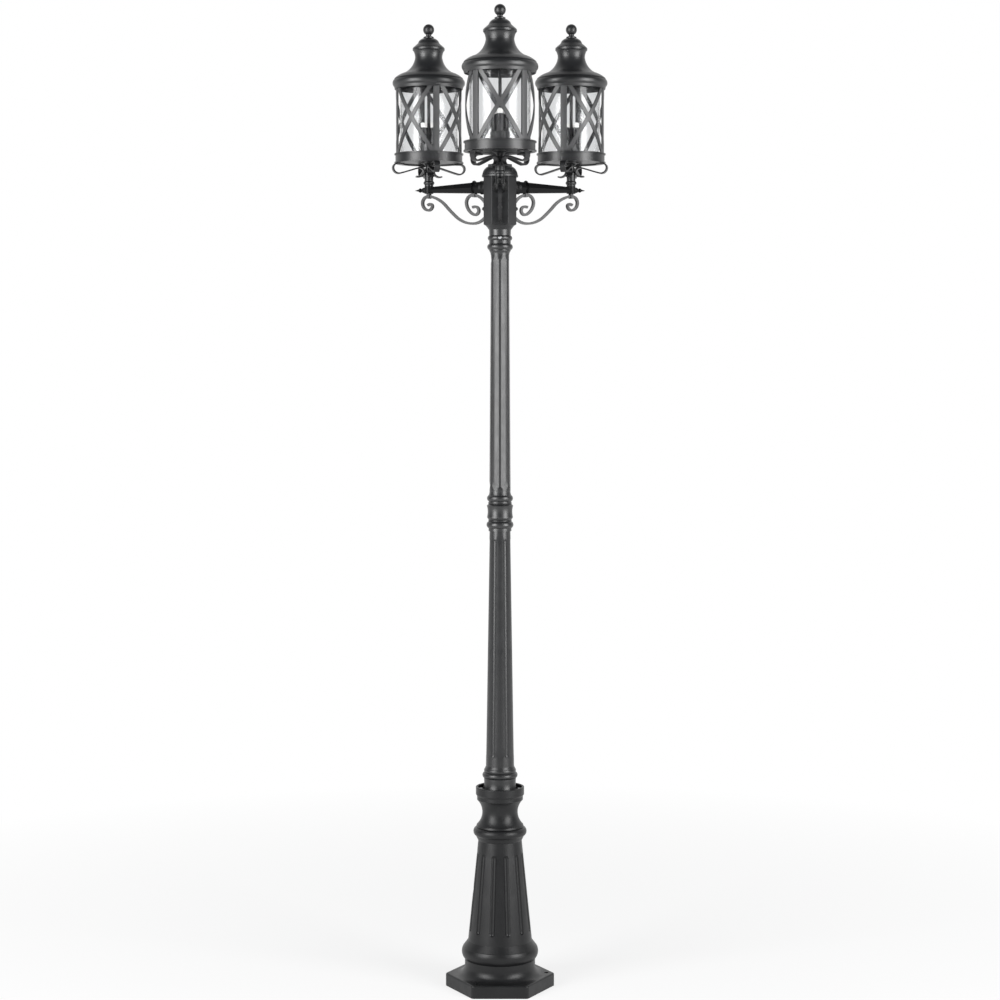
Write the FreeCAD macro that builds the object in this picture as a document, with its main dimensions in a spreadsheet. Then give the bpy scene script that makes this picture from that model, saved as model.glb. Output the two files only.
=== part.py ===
import FreeCAD, Part
import math
import os

import Sketcher
from FreeCAD import Placement, Rotation, Vector

# A three-armed lamp post. +Z is up and the origin is on the post's axis at ground level.
# The front arm points along -Y. Lengths are in millimetres, angles in degrees.

DIMENSIONS = {
    # base casting
    "plate_corner_r": 137.2,
    "plate_round": 10,
    "plate_edge": 4,
    "plate_thick": 32,
    "anchor_circle_r": 116,
    "anchor_hole_r": 5.5,
    "anchor_count": 3,
    "foot_flare_r": 110,
    "foot_flare_curve": 22,
    "foot_r": 88,
    "foot_wall": 10,
    "foot_waist_low": 54,
    "foot_waist_high": 71,
    "torus_curve": 25.4,
    "torus_top_r": 92.4,
    "torus_top": 101.6,
    "crease": 1.1,
    "cone_low_r": 79.9,
    "cone_low_height": 118,
    "cone_high_r": 54.3,
    "cone_high_height": 370,
    "cone_wall": 8,
    "cone_flute_count": 12,
    "cone_flute_width": 13.8,
    "cone_flute_depth": 4,
    "cone_flute_low": 148.5,
    "cone_flute_end": 36.4,
    "shoulder_foot_r": 56,
    "shoulder_foot": 2.6,
    "shoulder_r": 61.2,
    "shoulder_low": 12.4,
    "shoulder_height": 20,
    "shoulder_bulge": 5.3,
    "lip_r": 59.2,
    "lip_low": 34.6,
    "lip_height": 4.6,
    "scotia_low_r": 57,
    "scotia_high_r": 55,
    "scotia_low": 40.2,
    "scotia_hollow": 11.72,
    "cup_height": 35,
    "neck_wall": 6,
    "neck_r": 44.1,
    "cup_band_r": 57.2,
    "cup_band_height": 11,
    "cup_r": 60.2,
    "cup_wall": 5.2,
    "cup_depth": 17,
    "cup_floor": 20,
    "cup_edge": 1.5,
    "base_height": 505,
    "cable_way_r": 22,
    # screws in the cup
    "cup_screw_count": 4,
    "cup_screw_circle_r": 48.7,
    "cup_screw_r": 3,
    "cup_screw_head_r": 5,
    "cup_screw_head": 6,
    "cup_screw_grip": 14,
    "cup_screw_key_r": 2.4,
    # lower pole
    "lower_pole_length": 656,
    "pole_flange_r": 54,
    "pole_flange": 6,
    "pole_skirt_r": 43.4,
    "pole_skirt_curve": 60,
    "pole_foot_r": 39.8,
    "pole_foot_waist": 34,
    "pole_foot_bead_low": 39,
    "pole_foot_bead_height": 14.5,
    "pole_foot_bead_bulge": 4.6,
    "pole_foot_top_bead": 9.5,
    "pole_foot_top_bulge": 1.6,
    "pole_foot_top_r": 38.6,
    "pole_foot_height": 69,
    "lower_pole_low_r": 35.1,
    "lower_pole_high_r": 25.85,
    "lower_pole_bore_r": 28,
    "lower_bore_straight": 70,
    "lower_bore_taper": 480,
    "flute_count": 6,
    "flute_width": 12,
    "flute_depth": 2.2,
    "lower_flute_start": 99,
    "lower_flute_end": 25,
    # collar between the two pole lengths
    "spigot_r": 24,
    "spigot_length": 26,
    "fit_gap": 0.05,
    "pole_bore_r": 17,
    "mid_collar_length": 101,
    "collar_lip_r": 28.3,
    "collar_lip": 7,
    "collar_low_bead_bulge": 5.1,
    "collar_low_bead_height": 17,
    "collar_groove_r": 28.1,
    "collar_belly_low": 33,
    "collar_belly_r": 31.8,
    "collar_belly_curve": 50,
    "collar_belly_high": 63,
    "collar_belly_high_r": 32.7,
    "collar_high_groove": 71,
    "collar_high_bead_height": 15,
    "collar_high_bead_bulge": 4,
    "collar_flare_curve": 22,
    "sleeve_length": 190,
    "sleeve_wall": 3,
    # upper pole
    "upper_pole_length": 579,
    "upper_pole_low_r": 26.2,
    "upper_pole_high_r": 22.4,
    "upper_flute_start": 12,
    "upper_flute_end": 15,
    "top_spigot_r": 20,
    "top_spigot_length": 48,
    # head collar and its screws
    "head_collar_length": 61,
    "head_collar_low_r": 23,
    "head_collar_r": 26.5,
    "head_collar_flare": 10,
    "head_collar_flare_curve": 16,
    "head_ring_low": 12,
    "head_ring_height": 15,
    "head_ring_bulge": 5,
    "screw_ring_low": 35,
    "screw_ring_height": 12,
    "screw_ring_bulge": 3.6,
    "head_way_r": 15,
    "set_screw_r": 2.5,
    "set_screw_head_r": 3.8,
    "set_screw_head_seat": 28.4,
    "set_screw_head_height": 3.6,
    # hub and dome
    "hub_corner_r": 40.5,
    "hub_edge_round": 1.6,
    "hub_height": 119,
    "hub_taper": 10,
    "hub_taper_low_r": 27,
    "hub_taper_high_r": 34.6,
    "hub_cavity_r": 28,
    "hub_floor": 4,
    "dome_r": 44.4,
    "dome_lip": 4.5,
    "dome_rise": 28.5,
    "dome_wall": 3.2,
    "dome_crown_r": 34,
    "dome_crown_drop": 10,
    "dome_side_curve": 26,
    "dome_ring_depth": 6,
    "dome_ring_wall": 3,
    "dome_ring_gap": 0.1,
    "tip_flat_r": 0.5,
    # screws on the hub
    "hub_screw_height": 43,
    "hub_screw_r": 3,
    "hub_screw_head_r": 5.6,
    "hub_screw_head_height": 11,
    "hub_screw_length": 12,
    # arms
    "arm_height": 95,
    "arm_reach": 205,
    "arm_start": 44,
    "arm_low_half": 14.4,
    "arm_end_half": 7.4,
    "arm_end_length": 8,
    "arm_flange_r": 19,
    "arm_flange": 4,
    "arm_flange_curve": 22,
    "arm_lip_r": 16.8,
    "arm_lip_place": 17,
    "arm_spigot_r": 8,
    "arm_spigot_length": 9,
    "arm_ring_place": 72.7,
    "arm_ring_half": 4.7,
    "arm_ring_r": 18.4,
    "arm_boss_r": 11,
    "arm_boss_half": 9,
    "arm_bore_r": 4,
    # arm tip
    "tip_r": 7.2,
    "tip_ogive_length": 11,
    "tip_ogive_curve": 16,
    "tip_neck_r": 3.1,
    "tip_bead_length": 7,
    "tip_bead_bulge": 2.3,
    "tip_length": 31,
    "tip_spigot_r": 3,
    "tip_spigot_length": 7,
    # scroll bracket and clips
    "scroll_width": 8,
    "scroll_thick": 6,
    "scroll_strap_thick": 4.8,
    "scroll_strap_low": 84,
    "scroll_strap_high": 28,
    "s_scroll_over": 20.45,
    "s_scroll_drop": 87.1,
    "c_scroll_span": 60.2,
    "c_scroll_drop": 65.1,
    "clip_length": 7,
    "clip_width": 12.6,
    "clip_wall": 1.8,
    "clip_seat": 13.4,
    "outer_clip_drop": 21.1,
    "inner_clip_drop": 22.6,
    "clip_gap": 0.25,
    # stem
    "stem_length": 60,
    "stem_r": 10.9,
    "stem_ring_low": 4,
    "stem_ring_height": 9,
    "stem_ring_bulge": 2.7,
    "stem_swell_top": 33,
    "stem_neck_r": 8.4,
    "stem_neck": 38,
    "stem_flare_length": 10,
    "stem_flare_curve": 12,
    "stem_flange_r": 20,
    "stem_flange": 3,
    # looped feet
    "foot_count": 4,
    "foot_band_width": 14,
    "foot_band_thick": 3.4,
    "foot_band_start": 64,
    "foot_band_flat": 17,
    "foot_drop": 32.5,
    # gallery ring and pan
    "ring_r": 83.5,
    "ring_wall": 2,
    "ring_height": 24,
    "ring_lip_r": 86.2,
    "ring_lip": 3,
    "ring_seat_r": 76,
    "ring_top_r": 78.8,
    "pan_r": 78.4,
    "pan_thick": 3,
    "pan_upstand": 10,
    "pan_upstand_wall": 3,
    # cage
    "cage_height": 168,
    "cage_r": 82,
    "cage_thick": 3,
    "cage_top_ring": 6,
    "cage_top_ring_r": 76,
    "strap_count": 4,
    "strap_width": 16,
    "diagonal_width": 10,
    "diagonal_turn": 76.8,
    # glass
    "glass_r": 72,
    "glass_wall": 3,
    "glass_height": 185,
    "glass_gap": 0.3,
    # candle cluster
    "cup_can_r": 23.2,
    "cup_can_wall": 1.6,
    "cup_can_height": 40,
    "candle_count": 3,
    "candle_circle_r": 13.8,
    "candle_r": 8.8,
    "candle_wall": 1.1,
    "candle_height": 42,
    "socket_cap": 12,
    "socket_bore_r": 5.6,
    "socket_bore_depth": 38,
    # centre rod
    "rod_r": 4,
    "rod_socket": 21,
    "rod_end_gap": 1,
    "run_gap": 0.06,
    # roof
    "roof_skirt": 9,
    "roof_skirt_r": 83,
    "roof_skirt_wall": 1.8,
    "roof_rim_r": 86.4,
    "roof_rim_low": -2.4,
    "roof_rim_top_r": 87.3,
    "roof_rim_top": 14.2,
    "roof_rim_bulge": 3.4,
    "roof_edge_groove_r": 85,
    "roof_edge_r": 86,
    "roof_edge": 16.4,
    "roof_edge_height": 1.8,
    "roof_seat_top": 21,
    "roof_shoulder_r": 61,
    "roof_shoulder": 31.3,
    "roof_shoulder_curve": 58,
    "roof_bell_curve": 50,
    "roof_neck_r": 33.8,
    "roof_neck": 69,
    "roof_neck_flare_r": 37.6,
    "roof_neck_flare": 85,
    "roof_neck_flare_curve": 32,
    "roof_ring_r": 39.9,
    "roof_ring_low": 87.4,
    "roof_ring_height": 4.6,
    "roof_ring_top_r": 38.3,
    "roof_ring_top": 94.2,
    "roof_crown_r": 27.4,
    "roof_crown": 103.6,
    "roof_button_r": 24.2,
    "roof_button": 110,
    "roof_button_curve": 25,
    "roof_tip_r": 13,
    "roof_tip_low": 117.2,
    "roof_tip_top_r": 7,
    "roof_height": 123,
    "roof_wall": 2.8,
    # ball finial
    "ball_r": 13.75,
    "ball_neck_r": 6.5,
    "ball_neck": 3,
    "ball_stud": 8,
}

ARMS = {"front": 270, "right": 30, "left": 150}
CANDLE_TURN = {"front": 0, "right": 60, "left": 60}
FULL_TURN = 360
FIRST_FACE = 30
CONE_FLUTE_TURN = 15
STRAP_TURN = 45

# Centre lines of the wrought scrolls, as shares of each scroll's own span and drop. A scroll starts
# on the back strap with the heading that goes with it and runs on in arcs that join smoothly.
S_START_HEADING = -54
S_CURVE = (
    (0, 0.78), (0.2, 1), (0.464, 0.796), (0.622, 0.478), (0.85, 0.192),
    (0.9, 0.177), (0.99, 0.37), (0.903, 0.575), (0.838, 0.48), (0.87, 0.4), (0.908, 0.432),
)
C_START_HEADING = 66.8
C_CURVE = (
    (0.008, 0.69), (0.59, 0.257), (0.96, 0.605), (0.612, 1),
    (0.375, 0.862), (0.547, 0.703), (0.675, 0.722),
)
# Centre line of one looped foot: shares of the ring's lip radius, and depths below the ring as
# shares of the foot's own drop.
FOOT_CURVE = (
    (1.06, 0.385), (0.86, 0.78), (0.58, 0.566), (0.315, 0.354),
    (0.18, 0.446), (0.151, 0.74), (0.203, 0.94), (0.38, 1),
)


class Size:
    """A length: its number, and the expression over the sheet that gives the same number."""

    def __init__(self, number, words):
        self.number = number
        self.words = words

    def __add__(self, other):
        other = size(other)
        return Size(self.number + other.number, f"({self.words} + {other.words})")

    def __sub__(self, other):
        other = size(other)
        return Size(self.number - other.number, f"({self.words} - {other.words})")

    def __mul__(self, other):
        other = size(other)
        return Size(self.number * other.number, f"({self.words} * {other.words})")

    def __truediv__(self, other):
        other = size(other)
        return Size(self.number / other.number, f"({self.words} / {other.words})")

    def __neg__(self):
        return size(0) - self

    __radd__ = __add__
    __rmul__ = __mul__

    def __rsub__(self, other):
        return size(other) - self


def size(value):
    if isinstance(value, Size):
        return value
    return Size(float(value), f"({value:.6f})")


def root(value):
    return Size(math.sqrt(value.number), f"sqrt({value.words})")


def cosine(degrees):
    return math.cos(math.radians(degrees))


def sine(degrees):
    return math.sin(math.radians(degrees))


class Sheet:
    """The sheet of driving dimensions; each one reads as an attribute."""

    def __init__(self, document):
        table = document.addObject("Spreadsheet::Sheet", "Sizes")
        for row, (name, value) in enumerate(DIMENSIONS.items(), start=1):
            table.set(f"A{row}", name)
            table.set(f"B{row}", str(value))
            table.setAlias(f"B{row}", name)
        document.recompute()

    def __getattr__(self, name):
        return Size(float(DIMENSIONS[name]), f"Sizes.{name}")


document = FreeCAD.newDocument("LampPost")
dim = Sheet(document)
nodes = []


def heights():
    """Levels above the ground, stacked from the pieces' own lengths."""
    level = {}
    level["cup_floor"] = dim.base_height - dim.cup_depth
    level["collar"] = level["cup_floor"] + dim.lower_pole_length
    level["upper_pole"] = level["collar"] + dim.mid_collar_length
    level["head_collar"] = level["upper_pole"] + dim.upper_pole_length
    level["hub_taper"] = level["head_collar"] + dim.head_collar_length
    level["hub"] = level["hub_taper"] + dim.hub_taper
    level["dome"] = level["hub"] + dim.hub_height
    level["arm"] = level["hub"] + dim.arm_height
    level["stem"] = level["arm"] + dim.arm_boss_half
    level["pan"] = level["stem"] + dim.stem_length
    level["ring"] = level["pan"] - dim.ring_lip
    level["cage"] = level["ring"] + dim.ring_height
    level["roof_seat"] = level["cage"] + dim.cage_height
    level["roof_top"] = level["roof_seat"] + dim.roof_height
    level["pan_top"] = level["pan"] + dim.pan_thick
    level["candles"] = level["pan_top"] + dim.cup_can_height
    return level


def arc_radius(half_chord, rise):
    """Radius of the arc that stands the given rise above a chord."""
    return (half_chord * half_chord + rise * rise) / (2 * rise)


def arc_radius_of_dome(half_chord, rise):
    """Radius of the short arc from the top of a dome down to its edge."""
    return arc_radius(size(half_chord), size(rise))


def neck_rise(radius, neck_r):
    """How far a ball's centre stands above the circle where it meets its neck."""
    return root(radius * radius - neck_r * neck_r)


# ---- bodies, sketches and features ----

def new_body(name):
    body = document.addObject("PartDesign::Body", name)
    body.Label = name
    body.AllowCompound = True
    return body


def origin_item(body, role):
    return next(item for item in body.Origin.OriginFeatures if item.Role == role)


def new_sketch(body, name, plane="XZ_Plane", turn=0, lift=None):
    """A sketch on an origin plane, turned about the plane's own vertical and lifted off it."""
    sketch = body.newObject("Sketcher::SketchObject", name)
    sketch.AttachmentSupport = [(origin_item(body, plane), "")]
    sketch.MapMode = "FlatFace"
    lifted = size(lift) if lift is not None else size(0)
    sketch.AttachmentOffset = Placement(Vector(0, 0, lifted.number), Rotation(Vector(0, 1, 0), turn))
    if lift is not None:
        sketch.setExpression("AttachmentOffset.Base.z", lifted.words)
    return sketch


def pin_point(sketch, links, geometry, end, x, y):
    """Ties one end of a line or arc to its place in the sketch."""
    for kind, value, axis in (("DistanceX", x, -2), ("DistanceY", y, -1)):
        if abs(value.number) < 1e-9:
            sketch.addConstraint(Sketcher.Constraint("PointOnObject", geometry, end, axis))
        elif value.number > 0:
            index = sketch.addConstraint(Sketcher.Constraint(kind, -1, 1, geometry, end, value.number))
            links.append((index, value.words))
        else:
            index = sketch.addConstraint(Sketcher.Constraint(kind, geometry, end, -1, 1, -value.number))
            links.append((index, (-value).words))


def arc_between(start, end, radius):
    """The short arc from start to end; a positive radius stands out to the right of the way."""
    way = end - start
    chord = way.Length
    rise_centre = math.sqrt(max(radius * radius - chord * chord / 4, 0))
    right = Vector(way.y, -way.x, 0).normalize()
    side = 1 if radius > 0 else -1
    centre = (start + end) * 0.5 - right * (side * rise_centre)
    first, last = (start, end) if side > 0 else (end, start)
    angle_a = math.atan2(first.y - centre.y, first.x - centre.x)
    angle_b = math.atan2(last.y - centre.y, last.x - centre.x)
    if angle_b < angle_a:
        angle_b += 2 * math.pi
    return Part.ArcOfCircle(Part.Circle(centre, Vector(0, 0, 1), abs(radius)), angle_a, angle_b)


def draw(sketch, corners, closed=True):
    """Joins the corners with lines, or with an arc where a corner gives a radius as its third value.

    A positive radius makes an arc that stands out to the right of the way it is drawn.
    """
    places = [(size(corner[0]), size(corner[1])) for corner in corners]
    radii = [corner[2] if len(corner) > 2 else None for corner in corners]
    count = len(corners)
    spans = range(count) if closed else range(1, count)
    links = []
    ends = {}
    for index in spans:
        before = (index - 1) % count
        start = Vector(places[before][0].number, places[before][1].number, 0)
        end = Vector(places[index][0].number, places[index][1].number, 0)
        if radii[index] is None:
            geometry = sketch.addGeometry(Part.LineSegment(start, end), False)
            ends[index] = (geometry, 1, 2)
        else:
            radius = size(radii[index])
            geometry = sketch.addGeometry(arc_between(start, end, radius.number), False)
            ends[index] = (geometry, 1, 2) if radius.number > 0 else (geometry, 2, 1)
            positive = radius if radius.number > 0 else -radius
            mark = sketch.addConstraint(Sketcher.Constraint("Radius", geometry, positive.number))
            links.append((mark, positive.words))
    for index in spans:
        following = (index + 1) % count
        if following in ends:
            here = ends[index]
            there = ends[following]
            sketch.addConstraint(Sketcher.Constraint("Coincident", here[0], here[2], there[0], there[1]))
        pin_point(sketch, links, ends[index][0], ends[index][2], *places[index])
    if not closed:
        pin_point(sketch, links, ends[1][0], ends[1][1], *places[0])
    for mark, words in links:
        sketch.setExpression(f"Constraints[{mark}]", words)


def draw_chain(sketch, points, heading):
    """Draws arcs through the points, each one tangent to the one before, and pins every point."""
    links = []
    places = [(size(point[0]), size(point[1])) for point in points]
    angle = math.radians(heading)
    previous = None
    for number in range(1, len(points)):
        start = Vector(places[number - 1][0].number, places[number - 1][1].number, 0)
        end = Vector(places[number][0].number, places[number][1].number, 0)
        way = end - start
        chord_angle = math.atan2(way.y, way.x)
        turn = math.remainder(chord_angle - angle, 2 * math.pi)
        radius = -way.Length / (2 * math.sin(turn))
        geometry = sketch.addGeometry(arc_between(start, end, -radius), False)
        first, last = (1, 2) if -radius > 0 else (2, 1)
        if previous is None:
            pin_point(sketch, links, geometry, first, *places[0])
            mark = sketch.addConstraint(Sketcher.Constraint("Radius", geometry, abs(radius)))
        else:
            joint = Sketcher.Constraint("Tangent", previous[0], previous[1], geometry, first)
            sketch.addConstraint(joint)
        pin_point(sketch, links, geometry, last, *places[number])
        previous = (geometry, last)
        angle = chord_angle + turn
    for mark, words in links:
        sketch.setExpression(f"Constraints[{mark}]", words)


def draw_circle(sketch, x, y, radius):
    """A circle on its centre, both tied to the sheet."""
    x, y, radius = size(x), size(y), size(radius)
    circle = Part.Circle(Vector(x.number, y.number, 0), Vector(0, 0, 1), radius.number)
    geometry = sketch.addGeometry(circle, False)
    links = []
    mark = sketch.addConstraint(Sketcher.Constraint("Radius", geometry, radius.number))
    links.append((mark, radius.words))
    pin_point(sketch, links, geometry, 3, x, y)
    for mark, words in links:
        sketch.setExpression(f"Constraints[{mark}]", words)


def draw_axis(sketch, start, end):
    """A construction line to turn a profile about."""
    places = [(size(point[0]), size(point[1])) for point in (start, end)]
    points = [Vector(place[0].number, place[1].number, 0) for place in places]
    geometry = sketch.addGeometry(Part.LineSegment(*points), True)
    links = []
    pin_point(sketch, links, geometry, 1, *places[0])
    pin_point(sketch, links, geometry, 2, *places[1])
    for mark, words in links:
        sketch.setExpression(f"Constraints[{mark}]", words)


def volume(body):
    document.recompute()
    return body.Shape.Volume


def turn_profile(body, sketch, name, axis="V_Axis"):
    feature = body.newObject("PartDesign::Revolution", name)
    feature.Profile = sketch
    feature.ReferenceAxis = (sketch, [axis])
    feature.Angle = FULL_TURN
    sketch.Visibility = False
    return feature


def groove_profile(body, sketch, name, axis="V_Axis"):
    """Turns the profile and takes it away; a groove that cuts nothing is an error."""
    before = volume(body)
    feature = body.newObject("PartDesign::Groove", name)
    feature.Profile = sketch
    feature.ReferenceAxis = (sketch, [axis])
    feature.Angle = FULL_TURN
    if not volume(body) < before:
        raise RuntimeError(f"{name} cuts nothing")
    return feature


def pad_sketch(body, sketch, name, length, both_ways=False):
    feature = body.newObject("PartDesign::Pad", name)
    feature.Profile = sketch
    feature.Length = size(length).number
    feature.setExpression("Length", size(length).words)
    feature.Midplane = both_ways
    return feature


def pocket_sketch(body, sketch, name, length, along_normal=False):
    """Cuts the sketch into the body, against the sketch's normal unless told otherwise."""
    before = volume(body)
    feature = body.newObject("PartDesign::Pocket", name)
    feature.Profile = sketch
    feature.Length = size(length).number
    feature.setExpression("Length", size(length).words)
    feature.Reversed = along_normal
    if not volume(body) < before:
        raise RuntimeError(f"{name} cuts nothing")
    return feature


def repeat_round(body, features, name, count):
    """Repeats features evenly about the upright axis."""
    pattern = body.newObject("PartDesign::PolarPattern", name)
    pattern.Originals = features
    pattern.Axis = (origin_item(body, "Z_Axis"), [""])
    pattern.Angle = FULL_TURN
    pattern.Occurrences = int(size(count).number)
    pattern.setExpression("Occurrences", size(count).words)
    body.Tip = pattern
    return pattern


def keep(thing, label=None):
    """Lists a finished piece under its own label."""
    thing.Label = label or thing.Label
    nodes.append(thing)


def place_round(body, base_label, lift, reach=None, turns=None):
    """One placed copy of a modelled piece for each arm, lifted to its height."""
    for side, angle in ARMS.items():
        copy = document.addObject("Part::Compound", f"{base_label}_{side}")
        copy.Links = [body]
        own_turn = angle + (turns[side] if turns else 0)
        x = reach.number * cosine(angle) if reach else 0
        y = reach.number * sine(angle) if reach else 0
        copy.Placement = Placement(Vector(x, y, lift.number), Rotation(Vector(0, 0, 1), own_turn))
        copy.setExpression("Placement.Base.z", lift.words)
        if reach:
            copy.setExpression("Placement.Base.x", f"{reach.words} * {cosine(angle):.9f}")
            copy.setExpression("Placement.Base.y", f"{reach.words} * {sine(angle):.9f}")
        keep(copy, f"{base_label}_{side}")


# ---- shapes that come back ----

def bead(r, low, height, bulge):
    """A round bead on an upright wall, drawn upwards."""
    return [(r, low), (r, low + height, arc_radius(height / 2, size(bulge)))]


def rounded_hexagon(corner_r, rounding):
    """Corners of a hexagon with rounded corners, the first one on the X axis."""
    cut = rounding * math.tan(math.radians(30))
    corners = []
    for number in range(6):
        angle = 60 * number
        corner = (corner_r * cosine(angle), corner_r * sine(angle))
        back = angle - 120
        on = angle + 120
        corners.append((corner[0] + cut * cosine(back), corner[1] + cut * sine(back)))
        corners.append((corner[0] + cut * cosine(on), corner[1] + cut * sine(on), rounding))
    return corners


def flat_hexagon(half_height, centre):
    """Corners of a hexagon with level top and bottom sides, about a point on the sketch's Y axis."""
    reach = half_height / cosine(30)
    return [(reach * cosine(60 * number), centre + reach * sine(60 * number)) for number in range(6)]


def cut_flutes(body, name, low, high, width, depth, count, turn):
    """Round-ended flutes along a straight or tapered wall, from low to high, both given as (r, z)."""
    cutter = arc_radius(width / 2, depth)
    run = (high[0] - low[0], high[1] - low[1])
    length = root(run[0] * run[0] + run[1] * run[1])
    along = (run[0] / length, run[1] / length)
    out = (along[1], -along[0])

    def point(base, ahead, aside):
        return (
            base[0] + along[0] * ahead + out[0] * aside,
            base[1] + along[1] * ahead + out[1] * aside,
        )

    lifted = cutter - depth
    bottom = point(low, -cutter, lifted)
    top = point(high, cutter, lifted)
    sketch = new_sketch(body, f"{name}_profile", turn=turn)
    draw(sketch, [
        bottom,
        (*point(low, 0, -depth), -cutter),
        point(high, 0, -depth),
        (*top, -cutter),
    ])
    draw_axis(sketch, bottom, top)
    groove = groove_profile(body, sketch, name, "Axis0")
    repeat_round(body, [groove], f"{name}_round", count)


def bore_across(body, name, height, reach_in, reach_out, radius, turn, count):
    """Evenly spaced round holes that run straight out from the axis."""
    sketch = new_sketch(body, f"{name}_profile", turn=turn)
    draw(sketch, [
        (reach_in, height),
        (reach_out, height),
        (reach_out, height + radius),
        (reach_in, height + radius),
    ])
    draw_axis(sketch, (reach_in, height), (reach_out, height))
    groove = groove_profile(body, sketch, name, "Axis0")
    if size(count).number > 1:
        repeat_round(body, [groove], f"{name}_round", count)


def bore_upright(body, name, places, radius, low, high):
    """Upright round holes at (x, y) places, from low to high."""
    sketch = new_sketch(body, f"{name}_profile", "XY_Plane", lift=high)
    for x, y in places:
        draw_circle(sketch, x, y, radius)
    return pocket_sketch(body, sketch, name, size(high) - low)


def raise_body(body, height, turn=0):
    """Stands a body at its height on the axis."""
    height = size(height)
    body.Placement = Placement(Vector(0, 0, height.number), Rotation(Vector(0, 0, 1), turn))
    body.setExpression("Placement.Base.z", height.words)


level = heights()


# ---- the post ----

def make_base():
    """Anchor plate, foot, fluted cone and cup in one hollow casting."""
    body = new_body("base_casting")
    sketch = new_sketch(body, "plate_outline", "XY_Plane")
    draw(sketch, rounded_hexagon(dim.plate_corner_r, dim.plate_round))
    plate = pad_sketch(body, sketch, "plate", dim.plate_thick)
    document.recompute()
    rim = [
        f"Edge{number}" for number, edge in enumerate(plate.Shape.Edges, start=1)
        if edge.BoundBox.ZMin > dim.plate_thick.number - 0.01
    ]
    softened = body.newObject("PartDesign::Fillet", "plate_softened")
    softened.Base = (plate, rim)
    softened.Radius = dim.plate_edge.number
    softened.setExpression("Radius", dim.plate_edge.words)

    cup_top = dim.base_height
    cup_floor = cup_top - dim.cup_depth
    cone_top = dim.cone_high_height
    shoulder_low = cone_top + dim.shoulder_low
    lip_low = cone_top + dim.lip_low
    scotia_low = cone_top + dim.scotia_low
    scotia_high = cup_top - dim.cup_height
    scotia_curve = arc_radius((scotia_high - scotia_low) / 2, dim.scotia_hollow)
    band_top = scotia_high + dim.cup_band_height
    outline = new_sketch(body, "outline")
    draw(outline, [
        (0, 0),
        (dim.foot_flare_r, 0),
        (dim.foot_flare_r, dim.plate_thick),
        (dim.foot_r, dim.foot_waist_low, -dim.foot_flare_curve),
        (dim.foot_r, dim.foot_waist_high),
        (dim.torus_top_r, dim.torus_top, dim.torus_curve),
        (dim.torus_top_r - dim.crease, dim.torus_top + dim.crease),
        (dim.cone_low_r, dim.cone_low_height),
        (dim.cone_high_r, cone_top),
        (dim.shoulder_foot_r, cone_top + dim.shoulder_foot),
        (dim.shoulder_r - dim.crease, shoulder_low - dim.crease),
        (dim.shoulder_r, shoulder_low),
        (dim.shoulder_r, shoulder_low + dim.shoulder_height,
         arc_radius(dim.shoulder_height / 2, dim.shoulder_bulge)),
        (dim.lip_r - dim.crease, lip_low - dim.crease),
        (dim.lip_r, lip_low),
        (dim.lip_r - dim.crease, lip_low + dim.lip_height),
        (dim.scotia_low_r, scotia_low),
        (dim.scotia_high_r, scotia_high, -scotia_curve),
        (dim.cup_band_r, scotia_high + 2.2),
        (dim.cup_band_r, band_top),
        (dim.cup_r, band_top + 5),
        (dim.cup_r, cup_top - dim.cup_edge),
        (dim.cup_r - dim.cup_edge, cup_top, dim.cup_edge),
        (0, cup_top),
    ])
    turn_profile(body, outline, "turned")

    hollow = new_sketch(body, "hollow")
    neck = dim.neck_r - dim.neck_wall
    draw(hollow, [
        (0, 0),
        (dim.foot_r - dim.foot_wall, 0),
        (dim.foot_r - dim.foot_wall, dim.foot_waist_high),
        (dim.cone_low_r - dim.cone_wall, dim.cone_low_height),
        (dim.cone_high_r - dim.cone_wall, cone_top),
        (neck, (scotia_low + scotia_high) / 2),
        (neck, cup_floor - dim.cup_floor),
        (dim.cable_way_r, cup_floor - dim.cup_floor),
        (dim.cable_way_r, cup_floor),
        (dim.cup_r - dim.cup_wall, cup_floor),
        (dim.cup_r - dim.cup_wall, cup_top - dim.cup_edge),
        (dim.cup_r - dim.cup_wall + dim.cup_edge, cup_top),
        (0, cup_top),
    ])
    groove_profile(body, hollow, "hollowed")

    turn = FULL_TURN / dim.anchor_count.number
    places = [
        (dim.anchor_circle_r * cosine(turn * number), dim.anchor_circle_r * sine(turn * number))
        for number in range(int(dim.anchor_count.number))
    ]
    bore_upright(body, "anchor_holes", places, dim.anchor_hole_r, 0, dim.plate_thick)
    screw_turn = FULL_TURN / dim.cup_screw_count.number
    places = [
        (dim.cup_screw_circle_r * cosine(screw_turn * number),
         dim.cup_screw_circle_r * sine(screw_turn * number))
        for number in range(int(dim.cup_screw_count.number))
    ]
    bore_upright(
        body, "cup_screw_holes", places, dim.cup_screw_r, cup_floor - dim.cup_screw_grip, cup_floor,
    )

    def on_cone(height):
        share = (height - dim.cone_low_height) / (cone_top - dim.cone_low_height)
        return dim.cone_low_r + (dim.cone_high_r - dim.cone_low_r) * share, height

    cut_flutes(
        body, "cone_flutes", on_cone(dim.cone_flute_low), on_cone(cone_top - dim.cone_flute_end),
        dim.cone_flute_width, dim.cone_flute_depth, dim.cone_flute_count, CONE_FLUTE_TURN,
    )
    keep(body)


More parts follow.
